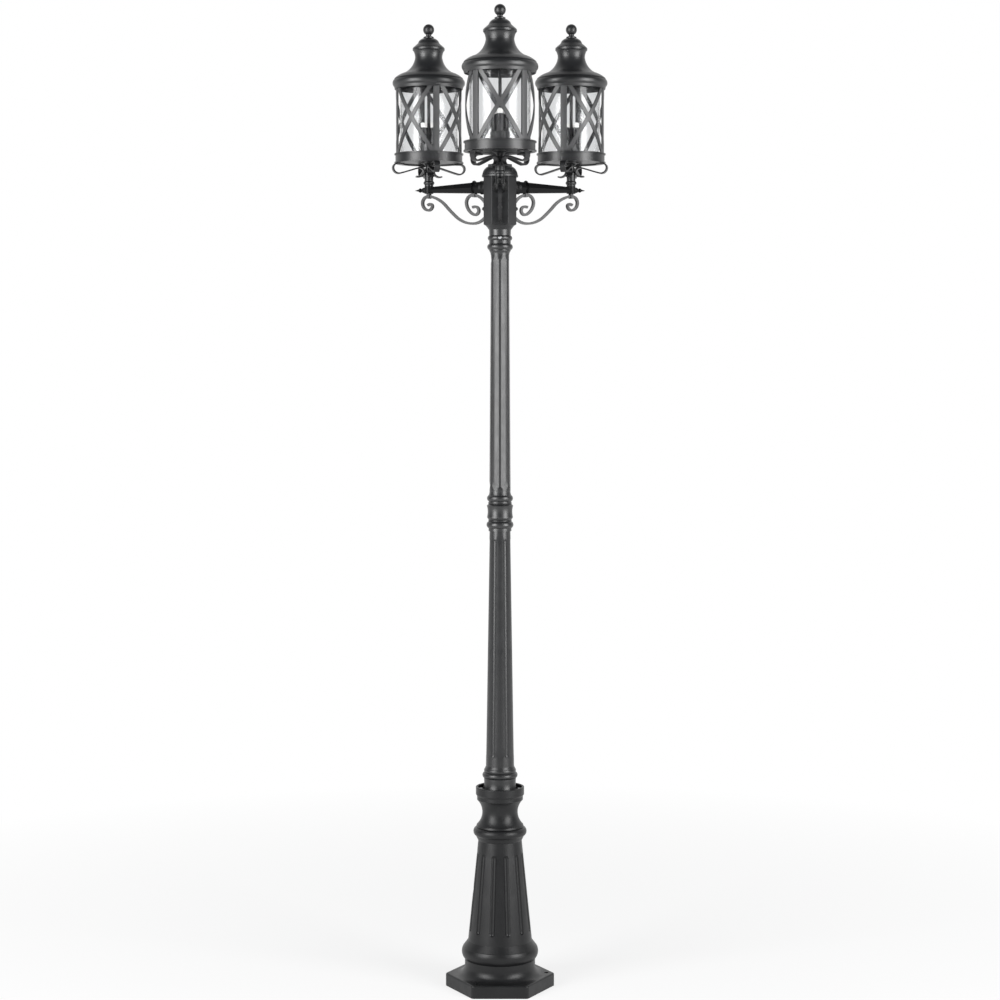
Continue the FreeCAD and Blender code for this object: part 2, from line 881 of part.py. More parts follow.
def make_cup_screws():
    """Cap screws with a round socket in the head, in a ring in the cup."""
    body = new_body("base_cup_screws")
    middle = dim.cup_screw_circle_r
    head_low = dim.pole_flange
    head_top = dim.pole_flange + dim.cup_screw_head
    sketch = new_sketch(body, "screw_profile")
    draw(sketch, [
        (middle, -dim.cup_screw_grip),
        (middle + dim.cup_screw_r, -dim.cup_screw_grip),
        (middle + dim.cup_screw_r, head_low),
        (middle + dim.cup_screw_head_r, head_low),
        (middle + dim.cup_screw_head_r, head_top - 0.6),
        (middle + dim.cup_screw_head_r - 0.6, head_top),
        (middle + dim.cup_screw_key_r, head_top),
        (middle + dim.cup_screw_key_r, head_top - 3),
        (middle, head_top - 3),
    ])
    draw_axis(sketch, (middle, -dim.cup_screw_grip), (middle, head_top))
    screw = turn_profile(body, sketch, "screw", "Axis0")
    repeat_round(body, [screw], "screws", dim.cup_screw_count)
    raise_body(body, level["cup_floor"])
    keep(body)


def make_lower_pole():
    """Tapered tube with a beaded foot, a flange and a spigot on top."""
    body = new_body("lower_pole")
    length = dim.lower_pole_length
    bead_top = dim.pole_foot_bead_low + dim.pole_foot_bead_height
    top_bead = bead_top + dim.pole_foot_top_bead
    sketch = new_sketch(body, "outline")
    draw(sketch, [
        (dim.lower_pole_bore_r, 0),
        (dim.pole_flange_r, 0),
        (dim.pole_flange_r, dim.pole_flange),
        (dim.pole_skirt_r, dim.pole_flange),
        (dim.pole_foot_r, dim.pole_foot_waist, -dim.pole_skirt_curve),
        (dim.pole_foot_r, dim.pole_foot_bead_low),
        (dim.pole_foot_top_r, bead_top,
         arc_radius(dim.pole_foot_bead_height / 2, dim.pole_foot_bead_bulge)),
        (dim.pole_foot_top_r - 0.8, top_bead,
         arc_radius(dim.pole_foot_top_bead / 2, dim.pole_foot_top_bulge)),
        (dim.lower_pole_low_r, dim.pole_foot_height),
        (dim.lower_pole_high_r, length),
        (dim.spigot_r, length),
        (dim.spigot_r, length + dim.spigot_length),
        (dim.pole_bore_r, length + dim.spigot_length),
        (dim.pole_bore_r, dim.lower_bore_straight + dim.lower_bore_taper),
        (dim.lower_pole_bore_r, dim.lower_bore_straight),
    ])
    turn_profile(body, sketch, "turned")
    screw_turn = FULL_TURN / dim.cup_screw_count.number
    places = [
        (dim.cup_screw_circle_r * cosine(screw_turn * number),
         dim.cup_screw_circle_r * sine(screw_turn * number))
        for number in range(int(dim.cup_screw_count.number))
    ]
    bore_upright(
        body, "flange_holes", places, dim.cup_screw_r + dim.fit_gap, 0, dim.pole_flange,
    )

    def on_pole(height):
        share = (height - dim.pole_foot_height) / (length - dim.pole_foot_height)
        return dim.lower_pole_low_r + (dim.lower_pole_high_r - dim.lower_pole_low_r) * share, height

    cut_flutes(
        body, "flutes", on_pole(dim.lower_flute_start), on_pole(length - dim.lower_flute_end),
        dim.flute_width, dim.flute_depth, dim.flute_count, 0,
    )
    raise_body(body, level["cup_floor"])
    keep(body)


def make_mid_collar():
    """Turned collar with three rings that takes a pole spigot at each end."""
    body = new_body("mid_collar")
    length = dim.mid_collar_length
    low_top = dim.collar_lip + dim.collar_low_bead_height
    high_low = dim.collar_high_groove + 2.5
    high_top = high_low + dim.collar_high_bead_height
    socket = dim.spigot_r + dim.fit_gap
    sketch = new_sketch(body, "outline")
    draw(sketch, [
        (socket, 0),
        (dim.collar_lip_r, 0),
        (dim.collar_lip_r, dim.collar_lip),
        (dim.collar_groove_r, low_top,
         arc_radius(dim.collar_low_bead_height / 2, dim.collar_low_bead_bulge)),
        (dim.collar_groove_r, low_top + 3.5, arc_radius(size(1.75), size(1))),
        (dim.collar_belly_r, dim.collar_belly_low),
        (dim.collar_belly_r, dim.collar_belly_low + 3),
        (dim.collar_belly_high_r, dim.collar_belly_high, -dim.collar_belly_curve),
        (dim.collar_groove_r, dim.collar_high_groove - 4),
        (dim.collar_groove_r, dim.collar_high_groove, arc_radius(size(2), size(1.5))),
        (dim.collar_groove_r, high_low),
        (dim.collar_groove_r, high_top,
         arc_radius(dim.collar_high_bead_height / 2, dim.collar_high_bead_bulge)),
        (dim.upper_pole_low_r, length, -dim.collar_flare_curve),
        (socket, length),
        (socket, length - dim.spigot_length),
        (dim.pole_bore_r, length - dim.spigot_length),
        (dim.pole_bore_r, dim.spigot_length),
        (socket, dim.spigot_length),
    ])
    turn_profile(body, sketch, "turned")
    raise_body(body, level["collar"])
    keep(body)


def make_sleeve():
    """Inner tube that lines the two pole lengths up."""
    body = new_body("coupling_sleeve")
    outer = dim.pole_bore_r - dim.fit_gap
    inner = outer - dim.sleeve_wall
    sketch = new_sketch(body, "outline")
    draw(sketch, [(inner, 0), (outer, 0), (outer, dim.sleeve_length), (inner, dim.sleeve_length)])
    turn_profile(body, sketch, "tube")
    middle = level["collar"] + dim.mid_collar_length / 2
    raise_body(body, middle - dim.sleeve_length / 2)
    keep(body)


def make_upper_pole():
    """Tapered fluted tube with a spigot at each end."""
    body = new_body("upper_pole")
    length = dim.upper_pole_length
    top = length + dim.top_spigot_length
    sketch = new_sketch(body, "outline")
    draw(sketch, [
        (dim.pole_bore_r, -dim.spigot_length),
        (dim.spigot_r, -dim.spigot_length),
        (dim.spigot_r, 0),
        (dim.upper_pole_low_r, 0),
        (dim.upper_pole_high_r, length),
        (dim.top_spigot_r, length),
        (dim.top_spigot_r, top),
        (dim.pole_bore_r, top),
    ])
    turn_profile(body, sketch, "turned")

    def on_pole(height):
        share = height / length
        return dim.upper_pole_low_r + (dim.upper_pole_high_r - dim.upper_pole_low_r) * share, height

    cut_flutes(
        body, "flutes", on_pole(dim.upper_flute_start), on_pole(length - dim.upper_flute_end),
        dim.flute_width, dim.flute_depth, dim.flute_count, FIRST_FACE,
    )
    raise_body(body, level["upper_pole"])
    keep(body)


def make_head_collar():
    """Turned collar between the pole and the hub, with three holes for set screws."""
    body = new_body("head_collar")
    length = dim.head_collar_length
    ring_top = dim.head_ring_low + dim.head_ring_height
    screw_top = dim.screw_ring_low + dim.screw_ring_height
    socket = dim.top_spigot_r + dim.fit_gap
    sketch = new_sketch(body, "outline")
    draw(sketch, [
        (socket, 0),
        (dim.head_collar_low_r, 0),
        (dim.head_collar_r, dim.head_collar_flare, -dim.head_collar_flare_curve),
        (dim.head_collar_r, dim.head_ring_low),
        (dim.head_collar_r, ring_top, arc_radius(dim.head_ring_height / 2, dim.head_ring_bulge)),
        (dim.head_collar_r, dim.screw_ring_low),
        (dim.head_collar_r, screw_top,
         arc_radius(dim.screw_ring_height / 2, dim.screw_ring_bulge)),
        (dim.hub_taper_low_r, length),
        (dim.head_way_r, length),
        (dim.head_way_r, dim.top_spigot_length),
        (socket, dim.top_spigot_length),
    ])
    turn_profile(body, sketch, "turned")
    middle = dim.screw_ring_low + dim.screw_ring_height / 2
    outside = dim.head_collar_r + dim.screw_ring_bulge + 2
    bore_across(
        body, "screw_holes", middle, dim.top_spigot_r, outside,
        dim.set_screw_r + dim.fit_gap, FIRST_FACE, len(ARMS),
    )
    bore_across(
        body, "screw_seats", middle, dim.set_screw_head_seat, outside,
        dim.set_screw_head_r + 0.3, FIRST_FACE, len(ARMS),
    )
    raise_body(body, level["head_collar"])
    keep(body)


def make_set_screws():
    """Round-headed screws that reach the pole's top spigot."""
    body = new_body("head_set_screws")
    seat = dim.set_screw_head_seat
    tip = seat + dim.set_screw_head_height
    dome = arc_radius_of_dome(dim.set_screw_head_r - dim.tip_flat_r, dim.set_screw_head_height)
    sketch = new_sketch(body, "screw_profile")
    draw(sketch, [
        (dim.top_spigot_r, 0),
        (tip, 0),
        (tip, dim.tip_flat_r),
        (seat, dim.set_screw_head_r, -dome),
        (seat, dim.set_screw_r),
        (dim.top_spigot_r, dim.set_screw_r),
    ])
    draw_axis(sketch, (dim.top_spigot_r, 0), (seat, 0))
    screw = turn_profile(body, sketch, "screw", "Axis0")
    repeat_round(body, [screw], "screws", len(ARMS))
    middle = dim.screw_ring_low + dim.screw_ring_height / 2
    raise_body(body, level["head_collar"] + middle, FIRST_FACE)
    keep(body)


# ---- the head ----

def make_hub():
    """Six-sided hollow box with a tapered underside."""
    body = new_body("hub")
    low = dim.hub_taper
    high = dim.hub_taper + dim.hub_height
    sketch = new_sketch(body, "outline", "XY_Plane", lift=low)
    draw(sketch, rounded_hexagon(dim.hub_corner_r, dim.hub_edge_round))
    pad_sketch(body, sketch, "box", dim.hub_height)
    taper = new_sketch(body, "taper")
    draw(taper, [
        (0, 0),
        (dim.hub_taper_low_r, 0),
        (dim.hub_taper_high_r, low),
        (dim.hub_taper_high_r, low + 2),
        (0, low + 2),
    ])
    turn_profile(body, taper, "tapered")
    corner = new_sketch(body, "corner")
    draw(corner, [
        (dim.hub_taper_high_r, low),
        (dim.hub_corner_r + 2, low),
        (dim.hub_corner_r + 2, low + 5),
    ])
    groove_profile(body, corner, "corners_off")
    cavity = new_sketch(body, "cavity")
    draw(cavity, [
        (0, 0),
        (dim.head_way_r, 0),
        (dim.head_way_r, low),
        (dim.hub_cavity_r, low + dim.hub_floor),
        (dim.hub_cavity_r, high),
        (0, high),
    ])
    groove_profile(body, cavity, "hollowed")
    inside = dim.hub_cavity_r - 4
    bore_across(
        body, "arm_holes", low + dim.arm_height, inside, dim.hub_corner_r,
        dim.arm_spigot_r + dim.fit_gap, FIRST_FACE, len(ARMS),
    )
    bore_across(
        body, "screw_holes", low + dim.hub_screw_height, inside, dim.hub_corner_r,
        dim.hub_screw_r, FIRST_FACE, len(ARMS),
    )
    raise_body(body, level["hub_taper"])
    keep(body)


def make_dome():
    """Flattened dome with a lip, and a ring below that locates it in the hub."""
    body = new_body("hub_dome")
    top = dim.dome_lip + dim.dome_rise
    wall = dim.dome_wall
    ring = dim.hub_cavity_r - dim.dome_ring_gap
    crown_r = dim.dome_crown_r
    crown = top - dim.dome_crown_drop
    crown_curve = arc_radius(crown_r - dim.tip_flat_r, dim.dome_crown_drop)
    sketch = new_sketch(body, "outline")
    draw(sketch, [
        (ring - dim.dome_ring_wall, -dim.dome_ring_depth),
        (ring, -dim.dome_ring_depth),
        (ring, 0),
        (dim.dome_r, 0),
        (dim.dome_r, dim.dome_lip),
        (dim.dome_r - 1, dim.dome_lip + 1.5),
        (crown_r, crown, dim.dome_side_curve),
        (dim.tip_flat_r, top, crown_curve),
        (0, top),
        (0, top - wall),
        (dim.tip_flat_r, top - wall),
        (crown_r - wall, crown - wall, -crown_curve),
        (ring - dim.dome_ring_wall, dim.dome_lip + wall),
    ])
    turn_profile(body, sketch, "turned")
    raise_body(body, level["dome"])
    keep(body)


def hub_face():
    """Distance from the axis to a flat face of the hub."""
    return dim.hub_corner_r * cosine(30)


def make_hub_screws():
    """Acorn-headed screws, one under each arm."""
    body = new_body("hub_screws")
    seat = hub_face() + dim.scroll_strap_thick
    head = dim.hub_screw_head_r
    tip = seat + dim.hub_screw_head_height
    sketch = new_sketch(body, "screw_profile")
    draw(sketch, [
        (seat - dim.hub_screw_length, 0),
        (tip, 0),
        (tip, head * 0.14),
        (tip - 0.6, head * 0.34),
        (tip - 2.2, head * 0.66),
        (tip - 4.6, head * 0.9),
        (tip - 7.5, head),
        (seat, head),
        (seat, dim.hub_screw_r),
        (seat - dim.hub_screw_length, dim.hub_screw_r),
    ])
    draw_axis(sketch, (seat - dim.hub_screw_length, 0), (seat, 0))
    screw = turn_profile(body, sketch, "screw", "Axis0")
    repeat_round(body, [screw], "screws", len(ARMS))
    raise_body(body, level["hub"] + dim.hub_screw_height, FIRST_FACE)
    keep(body)


# ---- one arm, along X, with its own axis at height zero ----

def arm_half(place):
    """Half height of the arm at a distance from the post's axis."""
    end = dim.arm_reach - dim.arm_end_length
    share = (place - dim.arm_start) / (end - dim.arm_start)
    return dim.arm_low_half + (dim.arm_end_half - dim.arm_low_half) * share


def make_arm():
    """Six-sided tapered arm with a flared flange, a pointed ring and an end boss."""
    body = new_body("arm")
    face = hub_face()
    end = dim.arm_reach - dim.arm_end_length
    sections = []
    for name, place, half in (
        ("section_low", dim.arm_start, dim.arm_low_half), ("section_end", end, dim.arm_end_half),
    ):
        sketch = new_sketch(body, name, "YZ_Plane", lift=place)
        draw(sketch, flat_hexagon(half, size(0)))
        sections.append(sketch)
    bar = body.newObject("PartDesign::AdditiveLoft", "bar")
    bar.Profile = sections[0]
    bar.Sections = sections[1:]
    bar.Ruled = True

    lip = face + dim.arm_lip_place
    flange = new_sketch(body, "flange")
    draw(flange, [
        (face - dim.arm_spigot_length, 0),
        (lip, 0),
        (lip, dim.arm_lip_r),
        (face + dim.arm_flange, dim.arm_flange_r, -dim.arm_flange_curve),
        (face, dim.arm_flange_r),
        (face, dim.arm_spigot_r),
        (face - dim.arm_spigot_length, dim.arm_spigot_r),
    ])
    turn_profile(body, flange, "flange_turned", "H_Axis")
    middle = dim.arm_ring_place
    ring = new_sketch(body, "ring")
    draw(ring, [
        (middle - dim.arm_ring_half, 0),
        (middle + dim.arm_ring_half, 0),
        (middle + dim.arm_ring_half, arm_half(middle)),
        (middle, dim.arm_ring_r),
        (middle - dim.arm_ring_half, arm_half(middle)),
    ])
    turn_profile(body, ring, "ring_turned", "H_Axis")
    boss = new_sketch(body, "boss", "XY_Plane")
    draw_circle(boss, dim.arm_reach, 0, dim.arm_boss_r)
    pad_sketch(body, boss, "boss_raised", dim.arm_boss_half * 2, both_ways=True)
    seat = new_sketch(body, "tip_seat")
    draw(seat, [
        (dim.arm_reach, 0),
        (dim.arm_reach + dim.arm_boss_r, 0),
        (dim.arm_reach + dim.arm_boss_r, dim.tip_r),
        (dim.arm_reach, dim.tip_r),
    ])
    turn_profile(body, seat, "tip_seat_turned", "H_Axis")

    way = new_sketch(body, "cable_way")
    draw(way, [
        (face - dim.arm_spigot_length, 0),
        (dim.arm_reach, 0),
        (dim.arm_reach, dim.arm_bore_r),
        (face - dim.arm_spigot_length, dim.arm_bore_r),
    ])
    groove_profile(body, way, "cable_way_bored", "H_Axis")
    bore_upright(
        body, "cable_way_up", [(dim.arm_reach, 0)], dim.arm_bore_r, 0, dim.arm_boss_half,
    )
    socket = new_sketch(body, "tip_socket")
    outside = dim.arm_reach + dim.arm_boss_r
    draw(socket, [
        (outside - dim.tip_spigot_length, 0),
        (outside, 0),
        (outside, dim.tip_spigot_r),
        (outside - dim.tip_spigot_length, dim.tip_spigot_r),
    ])
    groove_profile(body, socket, "tip_socket_bored", "H_Axis")
    flat = new_sketch(body, "clip_flat")
    draw(flat, [
        (middle - dim.arm_ring_half - 1, -dim.arm_ring_r - 1),
        (middle + dim.arm_ring_half + 1, -dim.arm_ring_r - 1),
        (middle + dim.arm_ring_half + 1, -dim.clip_seat),
        (middle - dim.arm_ring_half - 1, -dim.clip_seat),
    ])
    cut = pocket_sketch(body, flat, "clip_flat_cut", dim.arm_ring_r * 2)
    cut.Midplane = True
    place_round(body, "arm", lift=level["arm"])


def make_arm_tip():
    """Turned spike that screws into the end boss."""
    body = new_body("arm_tip")
    start = dim.arm_reach + dim.arm_boss_r
    ogive = start + dim.tip_ogive_length
    bead_end = ogive + dim.tip_bead_length
    sketch = new_sketch(body, "tip_profile")
    draw(sketch, [
        (start - dim.tip_spigot_length, 0),
        (start + dim.tip_length, 0),
        (bead_end, dim.tip_neck_r),
        (ogive, dim.tip_neck_r, arc_radius(dim.tip_bead_length / 2, dim.tip_bead_bulge)),
        (start, dim.tip_r, dim.tip_ogive_curve),
        (start, dim.tip_spigot_r),
        (start - dim.tip_spigot_length, dim.tip_spigot_r),
    ])
    turn_profile(body, sketch, "tip_turned", "H_Axis")
    place_round(body, "arm_tip", lift=level["arm"])


def make_scrolls():
    """Back strap with an S scroll and a C scroll, all in one bent and welded bracket."""
    body = new_body("scroll_bracket")
    face = hub_face()
    strap = new_sketch(body, "strap_outline")
    draw(strap, [
        (face, -dim.scroll_strap_low - dim.scroll_thick),
        (face + dim.scroll_strap_thick, -dim.scroll_strap_low - dim.scroll_thick),
        (face + dim.scroll_strap_thick, -dim.scroll_strap_high),
        (face, -dim.scroll_strap_high),
    ])
    pad_sketch(body, strap, "strap", dim.scroll_width + 3, both_ways=True)
    middle = face + dim.scroll_strap_thick / 2
    s_scroll_span = dim.arm_reach - middle + dim.s_scroll_over
    for name, shares, span, drop, heading in (
        ("s_scroll", S_CURVE, s_scroll_span, dim.s_scroll_drop, S_START_HEADING),
        ("c_scroll", C_CURVE, dim.c_scroll_span, dim.c_scroll_drop, C_START_HEADING),
    ):
        points = [(middle + span * x, -(drop * y)) for x, y in shares]
        sweep_bar(body, name, points, heading, dim.scroll_width, dim.scroll_thick)
    bore_along(
        body, "screw_hole", dim.hub_screw_height - dim.arm_height, face,
        face + dim.scroll_strap_thick, dim.hub_screw_r + dim.fit_gap,
    )
    place_round(body, "scroll_bracket", lift=level["arm"])


def bore_along(body, name, height, near, far, radius):
    """One round hole along X."""
    sketch = new_sketch(body, f"{name}_profile")
    draw(sketch, [(near, height), (far, height), (far, height + radius), (near, height + radius)])
    draw_axis(sketch, (near, height), (far, height))
    return groove_profile(body, sketch, name, "Axis0")


def sweep_bar(body, name, points, heading, width, thick, turn=0):
    """A flat bar bent edge to edge along a chain of arcs in an upright plane."""
    path = new_sketch(body, f"{name}_path", turn=turn)
    draw_chain(path, points, heading)
    section = body.newObject("Sketcher::SketchObject", f"{name}_section")
    start = (size(points[0][0]), size(points[0][1]))
    around = Rotation(Vector(0, 0, 1), turn)
    across = around.multVec(Vector(0, 1, 0))
    ahead = around.multVec(Vector(cosine(heading), 0, sine(heading)))
    upward = ahead.cross(across)
    facing = Rotation(across, upward, ahead, "ZXY")
    section.AttachmentSupport = [(origin_item(body, "XY_Plane"), "")]
    section.MapMode = "FlatFace"
    origin = around.multVec(Vector(start[0].number, 0, start[1].number))
    section.AttachmentOffset = Placement(origin, facing)
    section.setExpression("AttachmentOffset.Base.x", (start[0] * cosine(turn)).words)
    if abs(sine(turn)) > 1e-9:
        section.setExpression("AttachmentOffset.Base.y", (start[0] * sine(turn)).words)
    section.setExpression("AttachmentOffset.Base.z", start[1].words)
    draw(section, [
        (-width / 2, -thick / 2), (width / 2, -thick / 2), (width / 2, thick / 2),
        (-width / 2, thick / 2),
    ])
    document.recompute()
    pipe = body.newObject("PartDesign::AdditivePipe", name)
    pipe.Profile = section
    pipe.Spine = (path, [f"Edge{number}" for number in range(1, len(points))])
    return pipe


def make_clips():
    """Saddles that tie the scrolls to the underside of the arm."""
    body = new_body("scroll_clips")
    outer = dim.clip_width / 2
    inner = dim.scroll_width / 2 + dim.clip_gap
    for name, place, high, low in (
        ("outer_clip", dim.arm_reach, dim.arm_boss_half, dim.outer_clip_drop),
        ("inner_clip", dim.arm_ring_place, dim.clip_seat, dim.inner_clip_drop),
    ):
        sketch = new_sketch(body, f"{name}_outline", "YZ_Plane", lift=place)
        floor = low - dim.clip_wall
        draw(sketch, [
            (-outer, -low), (outer, -low), (outer, -high), (inner, -high),
            (inner, -floor), (-inner, -floor), (-inner, -high), (-outer, -high),
        ])
        pad_sketch(body, sketch, name, dim.clip_length, both_ways=True)
    place_round(body, "scroll_clips", lift=level["arm"])


# ---- one lantern, on its own axis, with height zero at the level named ----

def make_stem():
    """Turned riser with a flange on top."""
    body = new_body("stem")
    top = dim.stem_length
    ring_top = dim.stem_ring_low + dim.stem_ring_height
    flare = top - dim.stem_flange - dim.stem_flare_length
    sketch = new_sketch(body, "outline")
    draw(sketch, [
        (dim.arm_bore_r, 0),
        (dim.stem_r, 0),
        (dim.stem_r, dim.stem_ring_low),
        (dim.stem_r, ring_top, arc_radius(dim.stem_ring_height / 2, dim.stem_ring_bulge)),
        (dim.stem_r, dim.stem_swell_top),
        (dim.stem_neck_r, dim.stem_neck),
        (dim.stem_neck_r, flare),
        (dim.stem_flange_r, top - dim.stem_flange, -dim.stem_flare_curve),
        (dim.stem_flange_r, top),
        (dim.rod_r + dim.run_gap, top),
        (dim.rod_r + dim.run_gap, top - dim.rod_socket),
        (dim.arm_bore_r - 1, top - dim.rod_socket),
        (dim.arm_bore_r - 1, dim.stem_swell_top - 5),
        (dim.arm_bore_r, dim.stem_swell_top - 5),
    ])
    turn_profile(body, sketch, "turned")
    place_round(body, "stem", reach=dim.arm_reach, lift=level["stem"])


def make_feet():
    """Four flat bands that curl down from under the gallery ring and loop in to the stem."""
    body = new_body("scroll_feet")
    start = -(dim.foot_band_thick / 2)
    edge = dim.foot_band_start + dim.foot_band_flat
    points = [(edge, start)]
    for x, y in FOOT_CURVE:
        points.append((dim.ring_lip_r * x, -(dim.foot_drop * y)))
    strip = new_sketch(body, "strip_outline", turn=STRAP_TURN)
    draw(strip, [
        (dim.foot_band_start, -dim.foot_band_thick),
        (edge, -dim.foot_band_thick),
        (edge, 0),
        (dim.foot_band_start, 0),
    ])
    flat = pad_sketch(body, strip, "strip", dim.foot_band_width, both_ways=True)
    band = sweep_bar(
        body, "band", points, 0, dim.foot_band_width, dim.foot_band_thick, turn=STRAP_TURN,
    )
    repeat_round(body, [flat, band], "bands", dim.foot_count)
    place_round(body, "scroll_feet", reach=dim.arm_reach, lift=level["ring"])


def make_gallery_ring():
    """Channel-shaped ring with a lip above and below."""
    body = new_body("gallery_ring")
    high = dim.ring_height
    lip = dim.ring_lip
    wall = dim.ring_r - dim.ring_wall
    sketch = new_sketch(body, "outline")
    draw(sketch, [
        (dim.ring_seat_r, 0),
        (dim.ring_lip_r, 0),
        (dim.ring_lip_r, lip),
        (dim.ring_r, lip),
        (dim.ring_r, high - lip),
        (dim.ring_lip_r, high - lip),
        (dim.ring_lip_r, high),
        (dim.ring_top_r, high),
        (dim.ring_top_r, high - lip),
        (wall, high - lip),
        (wall, lip),
        (dim.ring_seat_r, lip),
    ])
    turn_profile(body, sketch, "turned")
    place_round(body, "gallery_ring", reach=dim.arm_reach, lift=level["ring"])


def make_pan():
    """Disc with an upstand that the glass stands in."""
    body = new_body("base_pan")
    inner = dim.glass_r + dim.glass_gap
    outer = inner + dim.pan_upstand_wall
    top = dim.pan_thick + dim.pan_upstand
    sketch = new_sketch(body, "outline")
    draw(sketch, [
        (dim.rod_r + dim.run_gap, 0),
        (dim.pan_r, 0),
        (dim.pan_r, dim.pan_thick),
        (outer, dim.pan_thick),
        (outer, top),
        (inner, top),
        (inner, dim.pan_thick),
        (dim.rod_r + dim.run_gap, dim.pan_thick),
    ])
    turn_profile(body, sketch, "turned")
    place_round(body, "base_pan", reach=dim.arm_reach, lift=level["pan"])


def make_cage():
    """Upright straps with crossed flat bars between them, all bent round and joined by a ring."""
    body = new_body("cage")
    high = dim.cage_height
    inner = dim.cage_r - dim.cage_thick
    ring = new_sketch(body, "ring_outline")
    draw(ring, [
        (dim.cage_top_ring_r, high - dim.cage_top_ring),
        (dim.cage_r, high - dim.cage_top_ring),
        (dim.cage_r, high),
        (dim.cage_top_ring_r, high),
    ])
    turn_profile(body, ring, "top_ring")
    strap = new_sketch(body, "strap_outline", turn=STRAP_TURN)
    draw(strap, [(inner, 0), (dim.cage_r, 0), (dim.cage_r, high), (inner, high)])
    upright = turn_profile(body, strap, "strap")
    spread = dim.strap_width / dim.cage_r * (180 / math.pi)
    upright.Angle = spread.number
    upright.setExpression("Angle", spread.words)
    upright.Midplane = True
    repeat_round(body, [upright], "straps", dim.strap_count)

    quarter = FULL_TURN / dim.strap_count.number
    rise_rate = high / dim.diagonal_turn
    over = (rise_rate * quarter - high) / 2
    lean = root(rise_rate * rise_rate + (dim.cage_r * (math.pi / 180)) * (dim.cage_r * (math.pi / 180)))
    upright_width = dim.diagonal_width * lean / (dim.cage_r * (math.pi / 180))
    bars = []
    for name, turn, left in (("bar_rising", -quarter / 2, False), ("bar_falling", quarter / 2, True)):
        section = new_sketch(body, f"{name}_section", turn=turn)
        draw(section, [
            (inner, -over - upright_width / 2),
            (dim.cage_r, -over - upright_width / 2),
            (dim.cage_r, -over + upright_width / 2),
            (inner, -over + upright_width / 2),
        ])
        bar = body.newObject("PartDesign::AdditiveHelix", name)
        bar.Profile = section
        bar.ReferenceAxis = (section, ["V_Axis"])
        bar.Mode = "height-turns-angle"
        bar.Height = (rise_rate * quarter).number
        bar.Turns = quarter / FULL_TURN
        bar.LeftHanded = left
        bar.setExpression("Height", (rise_rate * quarter).words)
        bars.append(bar)
    repeat_round(body, bars, "bars", dim.strap_count)
    for name, low, top in (
        ("bottom_trim", -(over + upright_width + 1), size(0)),
        ("top_trim", high, high + over + upright_width + 1),
    ):
        trim = new_sketch(body, f"{name}_outline")
        draw(trim, [
            (inner - 1, low), (dim.cage_r + 1, low), (dim.cage_r + 1, top), (inner - 1, top),
        ])
        groove_profile(body, trim, name)
    place_round(body, "cage", reach=dim.arm_reach, lift=level["cage"])


def make_tube(name, outer, wall, low, high, base):
    """A plain upright tube."""
    body = new_body(name)
    sketch = new_sketch(body, "outline")
    draw(sketch, [(outer - wall, low), (outer, low), (outer, high), (outer - wall, high)])
    turn_profile(body, sketch, "tube")
    place_round(body, name, reach=dim.arm_reach, lift=base)


def make_candle_cup():
    """Low can with a closed top that the candles stand on."""
    body = new_body("candle_cup")
    high = dim.cup_can_height
    wall = dim.cup_can_wall
    sketch = new_sketch(body, "outline")
    draw(sketch, [
        (dim.cup_can_r - wall, 0),
        (dim.cup_can_r, 0),
        (dim.cup_can_r, high),
        (dim.rod_r + dim.run_gap, high),
        (dim.rod_r + dim.run_gap, high - wall),
        (dim.cup_can_r - wall, high - wall),
    ])
    turn_profile(body, sketch, "turned")
    place_round(body, "candle_cup", reach=dim.arm_reach, lift=level["pan_top"], turns=CANDLE_TURN)


def make_candles():
    """Three black sleeves, and the white sockets that stand in them."""
    middle = dim.candle_circle_r
    height = dim.candle_height
    sleeve = new_body("candle_sleeves")
    inner = dim.candle_r - dim.candle_wall
    sketch = new_sketch(sleeve, "sleeve_outline")
    draw(sketch, [
        (middle + inner, 0), (middle + dim.candle_r, 0), (middle + dim.candle_r, height),
        (middle + inner, height),
    ])
    draw_axis(sketch, (middle, 0), (middle, height))
    tube = turn_profile(sleeve, sketch, "sleeve", "Axis0")
    repeat_round(sleeve, [tube], "sleeves", dim.candle_count)
    place_round(
        sleeve, "candle_sleeves", reach=dim.arm_reach, lift=level["candles"], turns=CANDLE_TURN,
    )
    socket = new_body("lamp_sockets")
    top = height + dim.socket_cap
    outer = inner - dim.fit_gap
    sketch = new_sketch(socket, "socket_outline")
    draw(sketch, [
        (middle, 0), (middle + outer, 0), (middle + outer, top - 1),
        (middle + outer - 1, top, size(1)),
        (middle + dim.socket_bore_r, top),
        (middle + dim.socket_bore_r, top - dim.socket_bore_depth),
        (middle, top - dim.socket_bore_depth),
    ])
    draw_axis(sketch, (middle, 0), (middle, height))
    holder = turn_profile(socket, sketch, "socket", "Axis0")
    repeat_round(socket, [holder], "sockets", dim.candle_count)
    place_round(
        socket, "lamp_sockets", reach=dim.arm_reach, lift=level["candles"], turns=CANDLE_TURN,
    )


def make_rod():
    """Rod up the middle of a lantern, from the stem into the roof's crown."""
    body = new_body("centre_rod")
    low = level["pan"] - dim.rod_socket
    high = level["roof_top"] - dim.ball_stud - dim.rod_end_gap
    sketch = new_sketch(body, "outline")
    draw(sketch, [
        (0, 0), (dim.rod_r, 0), (dim.rod_r, high - low - 1), (dim.rod_r - 1, high - low),
        (0, high - low),
    ])
    turn_profile(body, sketch, "turned")
    place_round(body, "centre_rod", reach=dim.arm_reach, lift=low)


